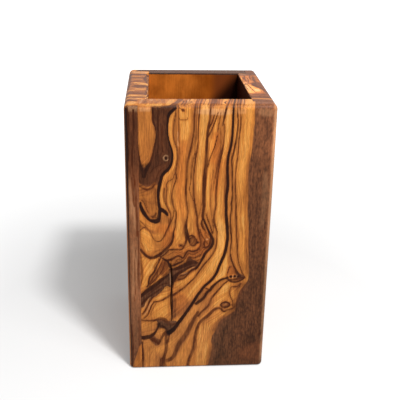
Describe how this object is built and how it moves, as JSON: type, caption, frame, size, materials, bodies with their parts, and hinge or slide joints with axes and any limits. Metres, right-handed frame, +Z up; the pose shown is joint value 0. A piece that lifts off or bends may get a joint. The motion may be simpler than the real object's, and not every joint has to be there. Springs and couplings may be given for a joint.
{
  "type": "pen holder",
  "caption": "Tall square wooden box, open at the top, with thick walls and rabbeted corner joints; stands on a desk and holds pens, brushes or small tools.",
  "frame": {"origin": "centre of the underside, on the surface the box stands on", "axes": "+Z up along the height; -Y the front, the face with the knots and the long check; +X the right side seen from the front"},
  "size_m": [0.058, 0.064, 0.118],
  "materials": {
    "front_wood": "sanded and oiled olive wood, golden with dark veins",
    "right_wood": "sanded and oiled olive wood, brown heartwood with golden bands",
    "back_wood": "sanded and oiled olive wood, golden with dark veins",
    "left_wood": "sanded and oiled olive wood, mostly dark brown heartwood",
    "bottom_wood": "sanded olive wood, lightly oiled"
  },
  "bodies": {
    "root": {"front_board": "front_wood", "right_board": "right_wood", "back_board": "back_wood", "left_board": "left_wood", "bottom_board": "bottom_wood"}
  },
  "joints": []
}
